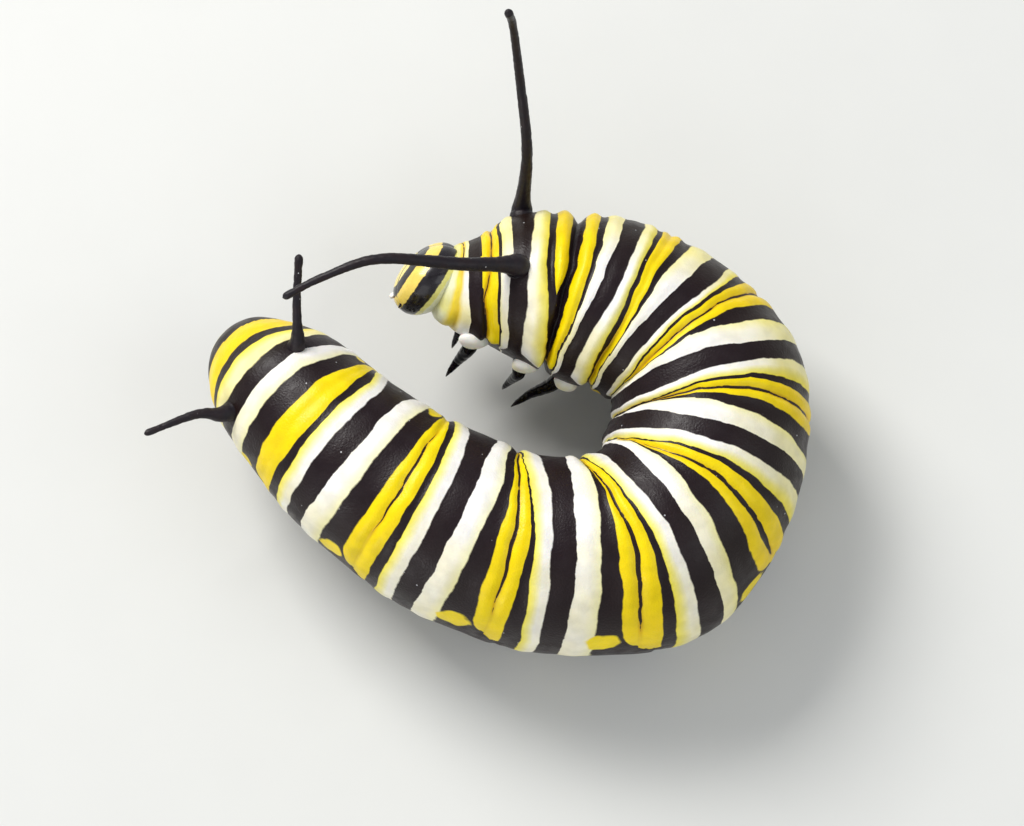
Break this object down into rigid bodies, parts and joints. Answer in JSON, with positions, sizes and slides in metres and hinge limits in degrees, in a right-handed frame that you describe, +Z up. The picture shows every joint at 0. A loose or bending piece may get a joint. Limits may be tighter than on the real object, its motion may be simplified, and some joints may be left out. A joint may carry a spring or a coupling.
{
  "type": "monarch larva",
  "caption": "Life-size monarch larva curled in a C on the floor, with black, white and yellow bands, stubby legs and two pairs of long black feelers.",
  "frame": {"origin": "the middle of the bottom of the bounding box, on the floor", "axes": "+Z up. +X is the longest extent: the closed side of the C and the third segment of the abdomen are at +X, and the head and the tail are at -X. +Y is the side of the head and thorax."},
  "size_m": [0.0246, 0.0212, 0.0156],
  "materials": {
    "banded_skin": "satin, with black, white and yellow bands",
    "black_skin": "satin",
    "filament_skin": "matte",
    "head_shell": "gloss, with black and yellow stripes",
    "leg_shell": "gloss"
  },
  "bodies": {
    "root": {"abdomen_1": "banded_skin", "abdomen_10": "banded_skin", "abdomen_2": "banded_skin", "abdomen_3": "banded_skin", "abdomen_4": "banded_skin", "abdomen_5": "banded_skin", "abdomen_6": "banded_skin", "abdomen_7": "banded_skin", "abdomen_8": "banded_skin", "abdomen_9": "banded_skin", "anal_proleg_left": "black_skin", "anal_proleg_right": "black_skin", "front_filament_left": "filament_skin", "front_filament_right": "filament_skin", "head": "head_shell", "leg_1_left": "leg_shell", "leg_1_right": "leg_shell", "leg_2_left": "leg_shell", "leg_2_right": "leg_shell", "leg_3_left": "leg_shell", "leg_3_right": "leg_shell", "proleg_3_left": "black_skin", "proleg_3_right": "black_skin", "proleg_4_left": "black_skin", "proleg_4_right": "black_skin", "proleg_5_left": "black_skin", "proleg_5_right": "black_skin", "proleg_6_left": "black_skin", "proleg_6_right": "black_skin", "rear_filament_left": "filament_skin", "rear_filament_right": "filament_skin", "thorax_1": "banded_skin", "thorax_2": "banded_skin", "thorax_3": "banded_skin"}
  },
  "joints": []
}
